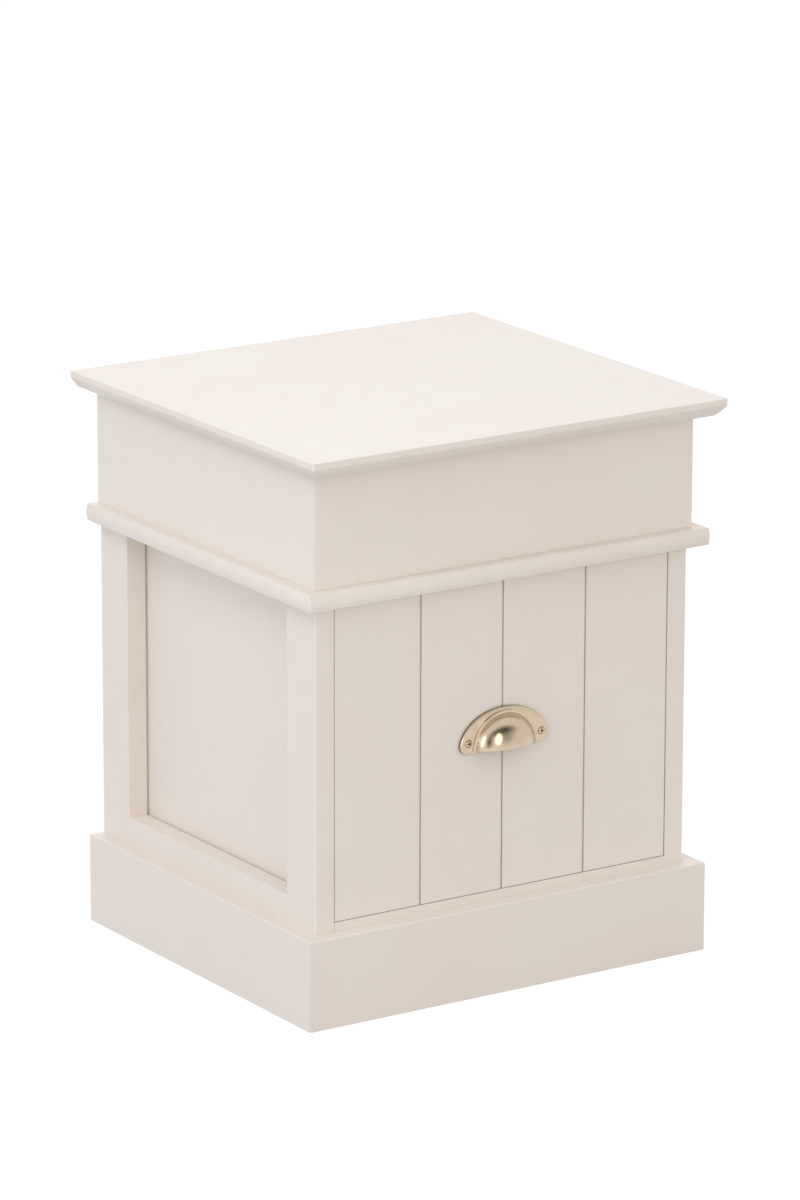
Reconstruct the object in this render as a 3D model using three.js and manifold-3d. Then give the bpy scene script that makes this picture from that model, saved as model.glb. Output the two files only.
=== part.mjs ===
// Bedside chest with one deep drawer, in millimetres, +Z up, front towards -Y.
// The origin is on the floor under the middle of the top board.

import * as THREE from "three";
import { mergeVertices } from "three/addons/utils/BufferGeometryUtils.js";
import Module from "manifold-3d";

const wasm = await Module();
wasm.setup();

// Overall
const overallHeight = 500;
const glueLine = 0.1;
const cutOverrun = 5;
const arcSteps = 8;

// Top board
const topWidth = 422;
const topDepth = 393;
const topThickness = 16;
const topSideOverhang = 20.5;
const topFrontOverhang = 29.5;
const topBackOverhang = 15;
const topFilletHeight = 5.5;
const topMouldingReach = 9;
const topMouldingBulgeShare = 0.2;
const topCornerRadius = 2;

// Frieze
const friezeHeight = 101;
const friezeThickness = 18;
const friezeBackThickness = 15;
const friezeSideProjection = 2.7;
const friezeFrontProjection = 3.7;
const mitreArrisRadius = 1;

// Waist board
const waistThickness = 15.5;
const waistSideProjection = 14.8;
const waistFrontProjection = 15;
const waistBulge = 1.5;
const waistArrisRadius = 0.8;
const waistCornerRadius = 3;

// Side frames
const sideThickness = 19;
const frontStileWidth = 45;
const rearStileWidth = 43.5;
const bottomRailHeight = 64;
const bottomRailShow = 24;
const sidePanelThickness = 4;
const panelShadowGap = 2;
const panelShadowDepth = 2.5;
const stileArrisRadius = 1;

// Back panel
const backPanelThickness = 4;
const backPanelLap = 9;
const backPanelDrop = 20;
const rebateClearance = 0.3;

// Bottom board
const bottomBoardThickness = 18;
const bottomBoardShow = 8;

// Plinth
const plinthHeight = 80;
const plinthThickness = 14.5;
const plinthBackThickness = 15;
const plinthArrisRadius = 1.5;

// Drawer front
const drawerFrontThickness = 18;
const drawerFrontRecess = 0.4;
const drawerSideGap = 0.8;
const drawerGapAbove = 1.5;
const drawerGapBelow = 0.6;
const plankWidths = [87, 83.7, 85.3];
const plankJointWidth = 0.8;
const plankJointDepth = 3;
const plankEaseWidth = 3;
const plankEaseDepth = 1.5;
const drawerFrontArris = 0.5;

// Drawer box
const boxWall = 12;
const boxFloorGap = 15.4;
const boxHeadDrop = 52;
const boxBackSpace = 25.5;
const boxBackDrop = 10;
const boxBottomThickness = 4;
const boxBottomRise = 12;
const boxGrooveDepth = 6;
const boxGrooveClearance = 0.2;

// Roller runners
const runnerSpace = 12.7;
const runnerSetback = 2;
const runnerSteel = 1.2;
const runnerSideGap = 0.3;
const runnerFlangeReach = 10.4;
const runnerTrackRise = 1.5;
const runnerFlangeGap = 1;
const runnerLipReach = 10;
const runnerTravelShare = 0.75;
const runnerStopGap = 0.5;
const runnerStopHeight = 7;

// Rollers and their pins
const rollerRadius = 8.5;
const rollerWidth = 7.6;
const rollerRunGap = 0.3;
const rollerSideGap = 0.4;
const rollerInset = 12;
const rollerRimRadius = 1;
const rollerDishRadius = 6;
const rollerDishDepth = 1.2;
const pinRadius = 2;
const pinFit = 0.2;
const pinHeadRadius = 3.6;
const pinHeadThickness = 0.8;
const roundSteps = 40;
const pinSteps = 20;

// Cup pull
const pullWidth = 92;
const pullHeight = 37.4;
const pullShoulderRise = 4;
const pullCornerRadius = 8;
const pullFlangeThickness = 3.3;
const pullRimDepth = 1.4;
const pullRimInset = 1;
const pullRise = 6.4;
const collarReach = 2;
const collarHeight = 1.2;
const collarRimRadius = 0.6;
const domeWidth = 62;
const domeLipRise = 2;
const domeLipTiltShare = 0.12;
const domeTopMargin = 4.6;
const domeReach = 21.5;
const domeWall = 1.7;
const domeColumns = 60;
const domeRows = 34;
const flangeSteps = 16;
const rimSteps = 3;

// Screws of the pull
const screwSpacing = 75;
const screwRise = 10;
const screwRadius = 1.7;
const screwLength = 15;
const screwTipLength = 4;
const screwHeadRadius = 3.2;
const screwHeadHeight = 1.5;
const screwCrownHeight = 1.1;
const screwCrownSteps = 5;
const screwHoleGap = 0.4;
const screwRecessReach = 2;
const screwRecessWidth = 1;
const screwRecessDepth = 1.9;

// Levels
const topUnderside = overallHeight - topThickness;
const friezeFoot = topUnderside - friezeHeight;
const waistUnderside = friezeFoot - waistThickness;
const bottomBoardTop = plinthHeight + bottomBoardShow;
const bottomBoardUnderside = bottomBoardTop - bottomBoardThickness;
const bottomRailTop = plinthHeight + bottomRailShow;
const bottomRailFoot = bottomRailTop - bottomRailHeight;

// Planes across the depth
const topFront = -topDepth / 2;
const topBack = topDepth / 2;
const bodyBack = topBack - topBackOverhang;
const bodyFront = topFront + topFrontOverhang;
const backPanelFront = bodyBack - backPanelThickness;
const drawerFace = bodyFront + drawerFrontRecess;
const drawerFrontBack = drawerFace + drawerFrontThickness;
const runnerFront = drawerFrontBack + runnerSetback;

// Planes across the width, from the middle
const topHalf = topWidth / 2;
const bodyHalf = topHalf - topSideOverhang;
const openingHalf = bodyHalf - sideThickness;
const panelFieldHalf = openingHalf - panelShadowGap;
const panelHalf = panelFieldHalf - sidePanelThickness;
const boxHalf = panelHalf - runnerSpace;
const boxInnerHalf = boxHalf - boxWall;
const drawerFrontHalf = openingHalf - drawerSideGap;

// Finishes
function finish(color, roughness, metalness) {
  return () => new THREE.MeshStandardMaterial({ color, roughness, metalness });
}
const creamPaint = finish(0xe9e0d6, 0.5, 0);
const paleBoard = finish(0xd9c7a6, 0.65, 0);
const brushedNickel = finish(0xb5a690, 0.3, 1);
const whiteEpoxySteel = finish(0xe6e4df, 0.4, 0.2);
const zincSteel = finish(0xa9abad, 0.35, 1);
const whiteNylon = finish(0xf0efea, 0.45, 0);

// Geometry to solid and back
function solidOf(geometry) {
  geometry.deleteAttribute("normal");
  geometry.deleteAttribute("uv");
  const merged = mergeVertices(geometry);
  return new wasm.Manifold(
    new wasm.Mesh({
      numProp: 3,
      vertProperties: new Float32Array(merged.getAttribute("position").array),
      triVerts: new Uint32Array(merged.index.array),
    }),
  );
}

function geometryOf(solid) {
  const surface = solid.getMesh();
  const geometry = new THREE.BufferGeometry();
  const corners = new THREE.BufferAttribute(new Float32Array(surface.vertProperties), 3);
  geometry.setAttribute("position", corners);
  geometry.setIndex(new THREE.BufferAttribute(new Uint32Array(surface.triVerts), 1));
  const faceted = geometry.toNonIndexed();
  faceted.computeVertexNormals();
  return faceted;
}

// Prisms: the outline's two axes are named first, the way it is drawn out last
function prismAlongZ(outline, low, high) {
  const depth = high - low;
  const geometry = new THREE.ExtrudeGeometry(outline, {
    depth,
    bevelEnabled: false,
    curveSegments: arcSteps,
  });
  return geometry.translate(0, 0, low);
}

// Turns what was drawn out along Z to run along -Y, its second axis upright
const turnForward = new THREE.Matrix4().makeBasis(
  new THREE.Vector3(1, 0, 0),
  new THREE.Vector3(0, 0, 1),
  new THREE.Vector3(0, -1, 0),
);

function prismAlongY(outline, low, high) {
  const prism = prismAlongZ(outline, 0, high - low);
  return prism.applyMatrix4(turnForward).translate(0, high, 0);
}

function prismAlongX(outline, low, high) {
  const turn = new THREE.Matrix4().makeBasis(
    new THREE.Vector3(0, 1, 0),
    new THREE.Vector3(0, 0, 1),
    new THREE.Vector3(1, 0, 0),
  );
  return prismAlongZ(outline, 0, high - low).applyMatrix4(turn).translate(low, 0, 0);
}

function polygon(points) {
  return new THREE.Shape(points.map(([u, v]) => new THREE.Vector2(u, v)));
}

function blockBetween(low, high) {
  const size = low.map((value, axis) => high[axis] - value);
  const middle = low.map((value, axis) => (high[axis] + value) / 2);
  return new THREE.BoxGeometry(...size).translate(...middle);
}

// A lathe profile given as radius and distance pairs, turned about X and started at a place
function turnedAboutX(profile, steps, place, direction) {
  const points = profile.map(([radius, distance]) => new THREE.Vector2(radius, distance));
  const geometry = new THREE.LatheGeometry(points, steps);
  const turn = new THREE.Matrix4().makeBasis(
    new THREE.Vector3(0, 0, direction),
    new THREE.Vector3(direction, 0, 0),
    new THREE.Vector3(0, 1, 0),
  );
  return geometry.applyMatrix4(turn).translate(...place);
}

// Assembly
const chest = new THREE.Group();
const cabinet = new THREE.Group();
const drawer = new THREE.Group();
chest.add(cabinet, drawer);

function addPiece(group, name, geometry, material) {
  const mesh = new THREE.Mesh(geometry, material());
  mesh.name = name;
  group.add(mesh);
}

const bothSides = [
  ["left", -1],
  ["right", 1],
];

// A pair of bounds across the width, mirrored for the left side
function across(side, inner, outer) {
  return side > 0 ? [inner, outer] : [-outer, -inner];
}

function sideBlock(side, innerOuter, depthBounds, heightBounds) {
  const [low, high] = across(side, ...innerOuter);
  return blockBetween(
    [low, depthBounds[0], heightBounds[0]],
    [high, depthBounds[1], heightBounds[1]],
  );
}

// Top board, moulded along the front and both sides: a vertical fillet over a flattened ovolo
function mouldedOutline(low, high) {
  const shoulder = overallHeight - topFilletHeight;
  const [bulgeAcross, bulgeDown] = [
    (topMouldingReach / 2) * (1 - topMouldingBulgeShare),
    shoulder - ((shoulder - topUnderside) / 2) * (1 + topMouldingBulgeShare),
  ];
  const outline = new THREE.Shape();
  outline.moveTo(low + topMouldingReach, topUnderside);
  outline.lineTo(high - topMouldingReach, topUnderside);
  outline.quadraticCurveTo(high - bulgeAcross, bulgeDown, high, shoulder);
  outline.lineTo(high, overallHeight);
  outline.lineTo(low, overallHeight);
  outline.lineTo(low, shoulder);
  outline.quadraticCurveTo(low + bulgeAcross, bulgeDown, low + topMouldingReach, topUnderside);
  return outline;
}

// The plan of a board or box, its two front corners rounded
function roundedFrontPlan(half, front, back, radius) {
  const plan = new THREE.Shape();
  plan.absarc(half - radius, front + radius, radius, -Math.PI / 2, 0, false);
  plan.lineTo(half, back);
  plan.lineTo(-half, back);
  plan.absarc(-half + radius, front + radius, radius, Math.PI, (3 * Math.PI) / 2, false);
  return plan;
}

const topAcross = prismAlongY(
  mouldedOutline(-topHalf, topHalf),
  topFront - cutOverrun,
  topBack,
);
// This section's far end lies behind the board, whose back edge stays square
const topAlong = prismAlongX(
  mouldedOutline(topFront, topBack + topMouldingReach + cutOverrun),
  -topHalf - cutOverrun,
  topHalf + cutOverrun,
);
const topPlan = prismAlongZ(
  roundedFrontPlan(topHalf, topFront, topBack + cutOverrun, topCornerRadius),
  topUnderside - cutOverrun,
  overallHeight + cutOverrun,
);
const topSolid = solidOf(topAcross).intersect(solidOf(topAlong)).intersect(solidOf(topPlan));
addPiece(cabinet, "top_board", geometryOf(topSolid), creamPaint);

// Frieze: three boards mitred at the front corners and a board across the back
const friezeHalf = bodyHalf + friezeSideProjection;
const friezeFront = bodyFront - friezeFrontProjection;
const friezeBounds = [friezeFoot + glueLine, topUnderside - glueLine];

// Plan outlines of boards that meet in mitres round the front and both sides of a box
function frontMitrePlan(half, front, thickness) {
  const gap = glueLine / 2;
  return polygon([
    [-half + gap, front],
    [half - gap, front],
    [half - thickness - gap, front + thickness],
    [-half + thickness + gap, front + thickness],
  ]);
}

function sideMitrePlan(side, half, front, back, thickness) {
  const gap = glueLine / 2;
  return polygon([
    [side * half, front + gap],
    [side * half, back],
    [side * (half - thickness), back],
    [side * (half - thickness), front + thickness + gap],
  ]);
}

function friezeBoard(plan) {
  const outer = roundedFrontPlan(friezeHalf, friezeFront, bodyBack, mitreArrisRadius);
  const board = solidOf(prismAlongZ(plan, ...friezeBounds));
  return geometryOf(board.intersect(solidOf(prismAlongZ(outer, 0, overallHeight))));
}

addPiece(
  cabinet,
  "frieze_front",
  friezeBoard(frontMitrePlan(friezeHalf, friezeFront, friezeThickness)),
  creamPaint,
);
for (const [sideName, side] of bothSides) {
  const plan = sideMitrePlan(side, friezeHalf, friezeFront, bodyBack, friezeThickness);
  addPiece(cabinet, `frieze_${sideName}`, friezeBoard(plan), creamPaint);
}
const friezeInnerHalf = friezeHalf - friezeThickness - glueLine;
addPiece(
  cabinet,
  "frieze_back",
  blockBetween(
    [-friezeInnerHalf, bodyBack - friezeBackThickness, friezeBounds[0]],
    [friezeInnerHalf, bodyBack, friezeBounds[1]],
  ),
  creamPaint,
);

// Waist board: a shallow bulge along the front and both sides, square at the back
const waistHalf = bodyHalf + waistSideProjection;
const waistFront = bodyFront - waistFrontProjection;

// A section whose two ends bulge furthest at mid height and have eased arrises
function bulgedOutline(low, high) {
  const middle = (waistUnderside + friezeFoot) / 2;
  const outline = new THREE.Shape();
  outline.moveTo((low + high) / 2, waistUnderside);
  for (const [end, inward, start, finish] of [
    [high, -1, waistUnderside, friezeFoot],
    [low, 1, friezeFoot, waistUnderside],
  ]) {
    const shoulder = end + inward * waistBulge;
    const eased = shoulder + inward * waistArrisRadius;
    const climb = Math.sign(finish - start) * waistArrisRadius;
    outline.lineTo(eased, start);
    outline.quadraticCurveTo(shoulder, start, shoulder, start + climb);
    outline.quadraticCurveTo(end - inward * waistBulge, middle, shoulder, finish - climb);
    outline.quadraticCurveTo(shoulder, finish, eased, finish);
  }
  return outline;
}

const waistAcross = prismAlongY(
  bulgedOutline(-waistHalf, waistHalf),
  waistFront - cutOverrun,
  bodyBack,
);
const waistAlong = prismAlongX(
  bulgedOutline(waistFront, bodyBack + cutOverrun),
  -waistHalf - cutOverrun,
  waistHalf + cutOverrun,
);
const waistPlan = prismAlongZ(
  roundedFrontPlan(waistHalf, waistFront, bodyBack + cutOverrun, waistCornerRadius),
  waistUnderside - cutOverrun,
  friezeFoot + cutOverrun,
);
const waistSolid = solidOf(waistAcross).intersect(solidOf(waistAlong)).intersect(
  solidOf(waistPlan),
);
addPiece(cabinet, "waist_board", geometryOf(waistSolid), creamPaint);

// Side frames: stiles and a bottom rail in one plane, a panel behind them whose field is
// sunk inside a border, so that a narrow shadow gap runs round the frame's inner arrises
const stileTop = waistUnderside - glueLine;
const frontStileBack = bodyFront + frontStileWidth;
const rearStileFront = bodyBack - rearStileWidth;
const rebateFloor = openingHalf + backPanelLap;

function frontStilePlan(side) {
  const radius = stileArrisRadius;
  return polygon([
    [side * openingHalf, bodyFront],
    [side * (bodyHalf - radius), bodyFront],
    [side * bodyHalf, bodyFront + radius],
    [side * bodyHalf, frontStileBack],
    [side * openingHalf, frontStileBack],
  ]);
}

function rearStilePlan(side) {
  return polygon([
    [side * openingHalf, rearStileFront],
    [side * bodyHalf, rearStileFront],
    [side * bodyHalf, bodyBack],
    [side * rebateFloor, bodyBack],
    [side * rebateFloor, backPanelFront],
    [side * openingHalf, backPanelFront],
  ]);
}

function sidePanelSolid(side) {
  const board = sideBlock(
    side,
    [panelHalf, openingHalf - glueLine],
    [runnerFront, backPanelFront - glueLine],
    [bottomBoardTop + glueLine, stileTop],
  );
  const sunkField = sideBlock(
    side,
    [panelFieldHalf, openingHalf + cutOverrun],
    [frontStileBack - panelShadowDepth, rearStileFront + panelShadowDepth],
    [bottomRailTop - panelShadowDepth, stileTop + cutOverrun],
  );
  return solidOf(board).subtract(solidOf(sunkField));
}

for (const [sideName, side] of bothSides) {
  addPiece(
    cabinet,
    `front_stile_${sideName}`,
    prismAlongZ(frontStilePlan(side), 0, stileTop),
    creamPaint,
  );
  addPiece(
    cabinet,
    `rear_stile_${sideName}`,
    prismAlongZ(rearStilePlan(side), 0, stileTop),
    creamPaint,
  );
  addPiece(
    cabinet,
    `bottom_rail_${sideName}`,
    sideBlock(
      side,
      [openingHalf, bodyHalf],
      [frontStileBack + glueLine, rearStileFront - glueLine],
      [bottomRailFoot, bottomRailTop],
    ),
    creamPaint,
  );
  addPiece(
    cabinet,
    `side_panel_${sideName}`,
    geometryOf(sidePanelSolid(side)),
    creamPaint,
  );
}

// Bottom board, its front edge in the plane of the stiles
addPiece(
  cabinet,
  "bottom_board",
  blockBetween(
    [-openingHalf + glueLine, bodyFront, bottomBoardUnderside],
    [openingHalf - glueLine, backPanelFront - glueLine, bottomBoardTop],
  ),
  creamPaint,
);

// Back panel in the rebates of the rear stiles
const backPanelHalf = rebateFloor - rebateClearance;
addPiece(
  cabinet,
  "back_panel",
  blockBetween(
    [-backPanelHalf, backPanelFront + glueLine, bottomBoardUnderside - backPanelDrop],
    [backPanelHalf, bodyBack, stileTop],
  ),
  paleBoard,
);

// Plinth: three boards mitred at the front corners and a board between the rear stiles
const plinthHalf = bodyHalf + plinthThickness;
const plinthFront = bodyFront - plinthThickness;

// An upright board outline: outer face at one bound, inner face at the other
function skirtingOutline(outer, inner) {
  const inward = Math.sign(inner - outer);
  const radius = plinthArrisRadius;
  const outline = new THREE.Shape();
  outline.moveTo(outer, 0);
  outline.lineTo(inner - inward * glueLine, 0);
  outline.lineTo(inner - inward * glueLine, plinthHeight);
  outline.lineTo(outer + inward * radius, plinthHeight);
  outline.quadraticCurveTo(outer, plinthHeight, outer, plinthHeight - radius);
  return outline;
}

function mitredBoard(prism, plan) {
  const outer = roundedFrontPlan(plinthHalf, plinthFront, bodyBack, mitreArrisRadius);
  let board = solidOf(prism);
  for (const outline of [plan, outer]) {
    const cutter = prismAlongZ(outline, -cutOverrun, plinthHeight + cutOverrun);
    board = board.intersect(solidOf(cutter));
  }
  return geometryOf(board);
}

addPiece(
  cabinet,
  "plinth_front",
  mitredBoard(
    prismAlongX(skirtingOutline(plinthFront, bodyFront), -plinthHalf, plinthHalf),
    frontMitrePlan(plinthHalf, plinthFront, plinthThickness),
  ),
  creamPaint,
);
for (const [sideName, side] of bothSides) {
  addPiece(
    cabinet,
    `plinth_${sideName}`,
    mitredBoard(
      prismAlongY(skirtingOutline(side * plinthHalf, side * bodyHalf), plinthFront, bodyBack),
      sideMitrePlan(side, plinthHalf, plinthFront, bodyBack, plinthThickness),
    ),
    creamPaint,
  );
}
addPiece(
  cabinet,
  "plinth_back",
  blockBetween(
    [-openingHalf + glueLine, backPanelFront - plinthBackThickness, 0],
    [openingHalf - glueLine, backPanelFront, bottomBoardUnderside - glueLine],
  ),
  creamPaint,
);

// Drawer levels
const drawerFrontFoot = bottomBoardTop + drawerGapBelow;
const drawerFrontHead = waistUnderside - drawerGapAbove;
const boxFoot = drawerFrontFoot + boxFloorGap;
const boxHead = drawerFrontHead - boxHeadDrop;
const boxBack = backPanelFront - boxBackSpace;
const boxBottomFoot = boxFoot + boxBottomRise;
const boxBottomHead = boxBottomFoot + boxBottomThickness;
const boxGrooveBounds = [boxBottomFoot - boxGrooveClearance, boxBottomHead + boxGrooveClearance];

// Cup pull places
const drawerFrontMiddle = (drawerFrontFoot + drawerFrontHead) / 2;
const pullFoot = drawerFrontMiddle + pullRise - pullHeight / 2;
const pullHead = pullFoot + pullHeight;
const pullShoulder = pullFoot + pullShoulderRise;
const domeLip = pullFoot + domeLipRise;
const domeHeight = pullHead - domeTopMargin - domeLip;
const pullBack = drawerFace - glueLine;
const pullFace = pullBack - pullFlangeThickness;
const screwLevel = pullFoot + screwRise;

// Drawer front: planks marked by joints, each a narrow slit whose left plank is eased into
// it. The widths given are those of the planks from the left, and the last plank has the rest.
function plankedPlan() {
  const jointFloor = drawerFace + plankJointDepth;
  const plan = new THREE.Shape();
  plan.moveTo(-drawerFrontHalf, drawerFrontBack);
  plan.lineTo(-drawerFrontHalf, drawerFace + drawerFrontArris);
  plan.lineTo(-drawerFrontHalf + drawerFrontArris, drawerFace);
  let joint = -drawerFrontHalf;
  for (const plankWidth of plankWidths) {
    joint += plankWidth;
    const slitLeft = joint - plankJointWidth / 2;
    const slitRight = joint + plankJointWidth / 2;
    plan.lineTo(slitLeft - plankEaseWidth, drawerFace);
    plan.quadraticCurveTo(slitLeft, drawerFace, slitLeft, drawerFace + plankEaseDepth);
    plan.lineTo(slitLeft, jointFloor);
    plan.lineTo(slitRight, jointFloor);
    plan.lineTo(slitRight, drawerFace);
  }
  plan.lineTo(drawerFrontHalf - drawerFrontArris, drawerFace);
  plan.lineTo(drawerFrontHalf, drawerFace + drawerFrontArris);
  plan.lineTo(drawerFrontHalf, drawerFrontBack);
  return plan;
}

function rodAlongY(radius, steps, low, high, across, level) {
  const rod = new THREE.CylinderGeometry(radius, radius, high - low, steps);
  return rod.translate(across, (low + high) / 2, level);
}

const screwPlaces = bothSides.map(([sideName, side]) => [sideName, (side * screwSpacing) / 2]);
const screwTip = pullFace + screwLength;
const boxGrooveHalf = boxInnerHalf + boxGrooveDepth;

const bottomGroove = blockBetween(
  [-boxGrooveHalf, drawerFrontBack - boxGrooveDepth, boxGrooveBounds[0]],
  [boxGrooveHalf, drawerFrontBack + cutOverrun, boxGrooveBounds[1]],
);
let drawerFrontSolid = solidOf(
  prismAlongZ(plankedPlan(), drawerFrontFoot, drawerFrontHead),
).subtract(solidOf(bottomGroove));
for (const [, place] of screwPlaces) {
  const hole = rodAlongY(
    screwRadius + screwHoleGap,
    pinSteps,
    drawerFace - cutOverrun,
    screwTip + screwHoleGap,
    place,
    screwLevel,
  );
  drawerFrontSolid = drawerFrontSolid.subtract(solidOf(hole));
}
addPiece(drawer, "drawer_front", geometryOf(drawerFrontSolid), creamPaint);

// Drawer box: grooved sides, a back that stands on the bottom, a thin bottom in the grooves
function groovedSideOutline(side) {
  return polygon([
    [side * boxHalf, boxFoot],
    [side * boxHalf, boxHead],
    [side * boxInnerHalf, boxHead],
    [side * boxInnerHalf, boxGrooveBounds[1]],
    [side * boxGrooveHalf, boxGrooveBounds[1]],
    [side * boxGrooveHalf, boxGrooveBounds[0]],
    [side * boxInnerHalf, boxGrooveBounds[0]],
    [side * boxInnerHalf, boxFoot],
  ]);
}

for (const [sideName, side] of bothSides) {
  addPiece(
    drawer,
    `drawer_side_${sideName}`,
    prismAlongY(groovedSideOutline(side), drawerFrontBack + glueLine, boxBack),
    paleBoard,
  );
}
addPiece(
  drawer,
  "drawer_back",
  blockBetween(
    [-boxInnerHalf + glueLine, boxBack - boxWall, boxBottomHead + glueLine],
    [boxInnerHalf - glueLine, boxBack, boxHead - boxBackDrop],
  ),
  paleBoard,
);
const boxBottomHalf = boxGrooveHalf - boxGrooveClearance;
addPiece(
  drawer,
  "drawer_bottom",
  blockBetween(
    [-boxBottomHalf, drawerFrontBack - boxGrooveDepth + boxGrooveClearance, boxBottomFoot],
    [boxBottomHalf, boxBack, boxBottomHead],
  ),
  paleBoard,
);

// Runner heights and places across, measured from the panel that carries the channel
const trackTop = boxFoot + runnerTrackRise;
const channelFoot = trackTop - runnerSteel;
const channelRoof = trackTop + 2 * (rollerRadius + rollerRunGap);
const channelHead = channelRoof + runnerSteel;
const railUnderside = channelHead + runnerFlangeGap;
const railHead = railUnderside + runnerSteel;
const lipHead = boxFoot - runnerSideGap;
const lipFoot = lipHead - runnerSteel;
const channelWebFace = runnerSideGap + runnerSteel;
const railWebBack = runnerSpace - runnerSideGap;
const railWebFace = railWebBack - runnerSteel;

const runnerLength = boxBack - drawerFrontBack;
const runnerTravel = runnerLength * runnerTravelShare;
const runnerBack = runnerFront + runnerLength;
const railFront = drawerFrontBack + glueLine;
const railBack = railFront + runnerLength;
const frontRollerPlace = runnerFront + rollerInset;
const rearRollerPlace = railBack - rollerInset;
const frontRollerLevel = railUnderside - rollerRunGap - rollerRadius;
const rearRollerLevel = trackTop + rollerRunGap + rollerRadius;
const frontStopPlace = rearRollerPlace - runnerTravel - rollerRadius - runnerStopGap;
const rearStopPlace = rearRollerPlace + rollerRadius + runnerStopGap;

// Distance from the panel to a place across the chest
function fromPanel(side, distance) {
  return side * (panelHalf - distance);
}

function runnerOutline(side, points) {
  return polygon(points.map(([distance, level]) => [fromPanel(side, distance), level]));
}

function runnerBlock(side, distances, depthBounds, levels) {
  return sideBlock(
    side,
    [panelHalf - distances[1], panelHalf - distances[0]],
    depthBounds,
    levels,
  );
}

function pinHole(side, place, level) {
  const radius = pinRadius + pinFit;
  const rod = new THREE.CylinderGeometry(radius, radius, 2 * cutOverrun, pinSteps);
  return rod.rotateZ(Math.PI / 2).translate(side, place, level);
}

// Cabinet channel: web and track full length, roof behind the front stop
function channelSolid(side) {
  const track = prismAlongY(
    runnerOutline(side, [
      [runnerSideGap, channelFoot],
      [runnerFlangeReach, channelFoot],
      [runnerFlangeReach, trackTop],
      [channelWebFace, trackTop],
      [channelWebFace, channelHead],
      [runnerSideGap, channelHead],
    ]),
    runnerFront,
    runnerBack,
  );
  const roof = runnerBlock(
    side,
    [runnerSideGap, runnerFlangeReach],
    [frontStopPlace - runnerSteel, runnerBack],
    [channelRoof, channelHead],
  );
  const frontStop = runnerBlock(
    side,
    [runnerSideGap, runnerFlangeReach],
    [frontStopPlace - runnerSteel, frontStopPlace],
    [channelRoof - runnerStopHeight, channelHead],
  );
  const rearStop = runnerBlock(
    side,
    [runnerSideGap, runnerFlangeReach],
    [rearStopPlace, rearStopPlace + runnerSteel],
    [channelFoot, trackTop + runnerStopHeight],
  );
  const hole = pinHole(fromPanel(side, 0), frontRollerPlace, frontRollerLevel);
  return solidOf(track)
    .add(solidOf(roof))
    .add(solidOf(frontStop))
    .add(solidOf(rearStop))
    .subtract(solidOf(hole));
}

// Drawer rail: a lip under the drawer side, a web on its outer face, a flange over the roller
function railSolid(side) {
  const profile = prismAlongY(
    runnerOutline(side, [
      [railWebFace, lipFoot],
      [runnerSpace + runnerLipReach, lipFoot],
      [runnerSpace + runnerLipReach, lipHead],
      [railWebBack, lipHead],
      [railWebBack, railHead],
      [channelWebFace + rollerSideGap, railHead],
      [channelWebFace + rollerSideGap, railUnderside],
      [railWebFace, railUnderside],
    ]),
    railFront,
    railBack,
  );
  const hole = pinHole(fromPanel(side, railWebBack), rearRollerPlace, rearRollerLevel);
  return solidOf(profile).subtract(solidOf(hole));
}

// Roller: a dished nylon wheel with rounded rims and a bore
const rollerProfile = [
  [pinRadius + pinFit, rollerDishDepth],
  [rollerDishRadius, rollerDishDepth],
  [rollerDishRadius, 0],
  [rollerRadius - rollerRimRadius, 0],
  [rollerRadius, rollerRimRadius],
  [rollerRadius, rollerWidth - rollerRimRadius],
  [rollerRadius - rollerRimRadius, rollerWidth],
  [rollerDishRadius, rollerWidth],
  [rollerDishRadius, rollerWidth - rollerDishDepth],
  [pinRadius + pinFit, rollerWidth - rollerDishDepth],
  [pinRadius + pinFit, rollerDishDepth],
];

// Pin: a shank through the web and the roller, with a flat head beyond the roller
const pinHeadStart = runnerSteel + 2 * rollerSideGap + rollerWidth;
const pinProfile = [
  [0, 0],
  [pinRadius, 0],
  [pinRadius, pinHeadStart],
  [pinHeadRadius, pinHeadStart],
  [pinHeadRadius, pinHeadStart + pinHeadThickness],
  [0, pinHeadStart + pinHeadThickness],
];

for (const [sideName, side] of bothSides) {
  addPiece(
    cabinet,
    `cabinet_runner_${sideName}`,
    geometryOf(channelSolid(side)),
    whiteEpoxySteel,
  );
  addPiece(
    drawer,
    `drawer_runner_${sideName}`,
    geometryOf(railSolid(side)),
    whiteEpoxySteel,
  );
  const rollers = [
    ["front", cabinet, runnerSideGap, -side, frontRollerPlace, frontRollerLevel],
    ["rear", drawer, railWebBack, side, rearRollerPlace, rearRollerLevel],
  ];
  for (const [endName, carrier, webBack, direction, place, level] of rollers) {
    const start = [fromPanel(side, webBack), place, level];
    const bore = [
      start[0] + direction * (runnerSteel + rollerSideGap),
      place,
      level,
    ];
    addPiece(
      carrier,
      `${endName}_roller_pin_${sideName}`,
      turnedAboutX(pinProfile, pinSteps, start, direction),
      zincSteel,
    );
    addPiece(
      carrier,
      `${endName}_roller_${sideName}`,
      turnedAboutX(rollerProfile, roundSteps, bore, direction),
      whiteNylon,
    );
  }
}

// Cup pull: a half-moon flange open below, a collar on it and a hollow half dome over both
function flangeOutline() {
  const half = pullWidth / 2;
  const radius = pullCornerRadius;
  const crown = pullHead - pullShoulder;
  const turn = Math.asin((pullFoot + radius - pullShoulder) / crown);
  const cornerMiddle = half * Math.cos(turn) - radius;
  const outline = new THREE.Shape();
  outline.absarc(cornerMiddle, pullFoot + radius, radius, -Math.PI / 2, 0, false);
  outline.absellipse(0, pullShoulder, half, crown, turn, Math.PI - turn, false, 0);
  outline.absarc(-cornerMiddle, pullFoot + radius, radius, Math.PI, (3 * Math.PI) / 2, false);
  return outline;
}

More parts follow.
